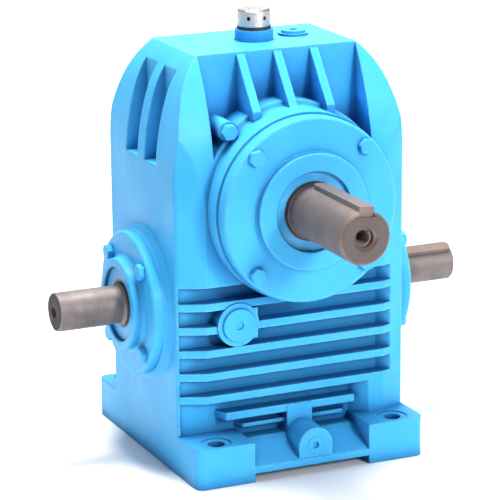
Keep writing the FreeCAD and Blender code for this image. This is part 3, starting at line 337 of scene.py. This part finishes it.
def dull_sheet(name, colour, roughness, grain_scale, depth):
    """Rubber or another soft dull material."""
    material, tree, shader = finish(name)
    grain = noise(tree, place(tree), grain_scale)
    dark = tuple(0.6 * part for part in colour)
    base = blend(tree, remap(tree, grain, 0.35, 0.7, to_high=0.6), colour, dark)
    tree.links.new(base, shader.inputs["Base Color"])
    matt = remap(tree, grain, 0.3, 0.7, to_low=roughness, to_high=roughness + 0.12)
    tree.links.new(matt, shader.inputs["Roughness"])
    tree.links.new(bump(tree, grain, depth), shader.inputs["Normal"])
    return material


def painted_seal(name, across_axis, height, lip):
    """A shaft seal sprayed over with the housing, with bare rubber left within lip of the shaft's axis.

    The shaft's axis is level, at the given height, and square to across_axis.
    """
    material, tree, shader = finish(name)
    where = place(tree)
    parts = add(tree, "SeparateXYZ", {0: where}).outputs
    across = parts[across_axis]
    level = add(tree, "Math", {0: parts["Z"], 1: height}, operation="SUBTRACT").outputs[0]
    squares = plus(tree, times(tree, across, across), times(tree, level, level))
    reach = add(tree, "Math", {0: squares, 1: 0.5}, operation="POWER").outputs[0]
    grain = noise(tree, where, scale=420)
    wobble = plus(tree, reach, times(tree, grain, 0.0012))
    paint = remap(tree, wobble, lip, lip + 0.0008)
    thickness = remap(tree, noise(tree, where, scale=40), 0.35, 0.7)
    enamelled = blend(tree, thickness, PAINT, PAINT_DEEP)
    base = blend(tree, paint, RUBBER, enamelled)
    tree.links.new(base, shader.inputs["Base Color"])
    matt = remap(tree, grain, 0.3, 0.7, to_low=0.36, to_high=0.5)
    tree.links.new(matt, shader.inputs["Roughness"])
    tree.links.new(bump(tree, grain, 0.00012), shader.inputs["Normal"])
    return material


def floor_finish():
    """Matt and pale."""
    material, tree, shader = finish("pale_floor")
    mottle = noise(tree, place(tree), scale=3)
    base = blend(tree, mottle, (0.90, 0.91, 0.92), (0.86, 0.87, 0.88))
    tree.links.new(base, shader.inputs["Base Color"])
    shader.inputs["Roughness"].default_value = 0.9
    return material


def make_finishes():
    """One finish for each of the record's material slots.

    A plain metal has a colour, a roughness, grains per metre, the grain's depth and how metallic it is.
    """
    output_end = -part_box("output_shaft")[0].y
    return {
        "housing_paint": enamel("casting_enamel", 0.003),
        "painted_fitting": enamel("fitting_enamel", 0.0005, grain=0.4, painted_shade=0.2),
        "copper_washer": enamel("washer_enamel", 0.0004, grain=0.3),
        "gasket": enamel("gasket_enamel", 0.0002, grain=0.3),
        "shaft_steel": turned_steel("turned_steel", STEEL, 1, 0.42, output_end, STEEL_END_FACE),
        "key_steel": plain_metal("drawn_steel", KEY_STEEL, 0.38, 700, 0.00008, STEEL_METALLIC),
        "bearing_steel": plain_metal("bearing_steel", (0.60, 0.60, 0.61), 0.12, 900, 0.00001),
        "cage_brass": plain_metal("cage_brass", (0.70, 0.52, 0.24), 0.25, 800, 0.00003),
        "bronze": plain_metal("bronze", (0.62, 0.40, 0.17), 0.28, 800, 0.00004),
        "cast_iron": plain_metal("cast_iron", (0.20, 0.20, 0.21), 0.5, 420, 0.0003, 0.8),
        "seal_rubber": dull_sheet("seal_rubber", RUBBER, 0.45, 900, 0.00004),
        "zinc": plain_metal("zinc_plate", (0.72, 0.70, 0.68), 0.22, 600, 0.00006),
    }


def make_own_finishes():
    """Finishes of single nodes: the worm's lines run round X, not Y, and the seals are painted over."""
    worm_end = -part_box("worm_shaft")[0].x
    worm_seal = painted_seal("worm_seal_enamel", "Y", WORM_HEIGHT, lip=0.0225)
    return {
        "worm_shaft": turned_steel("turned_steel_worm", WORM_STEEL, 0, 0.46, worm_end, WORM_END_FACE),
        "output_seal": painted_seal("output_seal_enamel", "X", OUTPUT_HEIGHT, lip=0.0275),
        "worm_seal_left": worm_seal,
        "worm_seal_right": worm_seal,
    }


def dress(finishes, own_finishes):
    """Gives each CAD node its own finish or else the finish of its slot."""
    for name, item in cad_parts.items():
        slot = item.data.materials[0].name.split(".")[0]
        item.material_slots[0].material = own_finishes.get(name, finishes[slot])


# ---------------------------------------------------------------- threads

THREAD_STEPS = 28                       # sections in one turn
RIDGE_HALF_WIDTH = 0.42                 # of the pitch
RIDGE_DEPTH = 0.55                      # of the pitch
THREAD_START = 0.006                    # from the end face, past the countersink


def piece(name, shell, body, material):
    """An object made from a bmesh, riding on a body."""
    mesh = bpy.data.meshes.new(name)
    shell.to_mesh(mesh)
    shell.free()
    mesh.materials.append(material)
    item = bpy.data.objects.new(name, mesh)
    bpy.context.scene.collection.objects.link(item)
    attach(item, body)
    return item


def thread(name, start, axis, radius, pitch, length, body, material):
    """The ridge of a thread inside a hole of the given radius: a triangle swept along a helix."""
    axis = Vector(axis).normalized()
    side = axis.orthogonal().normalized()
    other = axis.cross(side)
    shell = bmesh.new()
    last = None
    for step in range(int(length / pitch * THREAD_STEPS) + 1):
        angle = 2 * math.pi * step / THREAD_STEPS
        out = side * math.cos(angle) + other * math.sin(angle)
        centre = Vector(start) + axis * (pitch * step / THREAD_STEPS)
        section = [
            shell.verts.new(centre + out * radius - axis * RIDGE_HALF_WIDTH * pitch),
            shell.verts.new(centre + out * (radius - RIDGE_DEPTH * pitch)),
            shell.verts.new(centre + out * radius + axis * RIDGE_HALF_WIDTH * pitch),
        ]
        if last:
            for first, second in ((0, 1), (1, 2), (2, 0)):
                shell.faces.new((last[first], last[second], section[second], section[first]))
        else:
            shell.faces.new(section)
        last = section
    shell.faces.new(reversed(last))
    bmesh.ops.recalc_face_normals(shell, faces=shell.faces)
    return piece(name, shell, body, material)


def make_threads(steel):
    """Threads in the tapped centre holes of the shaft ends."""
    low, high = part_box("output_shaft")
    start = (0, low.y + THREAD_START, (low.z + high.z) / 2)
    thread("output_thread", start, (0, 1, 0), radius=0.0070, pitch=0.002, length=0.024,
           body="output_shaft", material=steel)
    low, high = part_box("worm_shaft")
    for side, end, inward in (("left", low.x, 1), ("right", high.x, -1)):
        start = (end + inward * THREAD_START, 0, WORM_HEIGHT)
        thread("worm_thread_" + side, start, (inward, 0, 0), radius=0.0051, pitch=0.00175, length=0.02,
               body="worm_shaft", material=steel)


make_camera()
make_studio()
make_floor()
finishes = make_finishes()
dress(finishes, make_own_finishes())
make_threads(finishes["shaft_steel"])
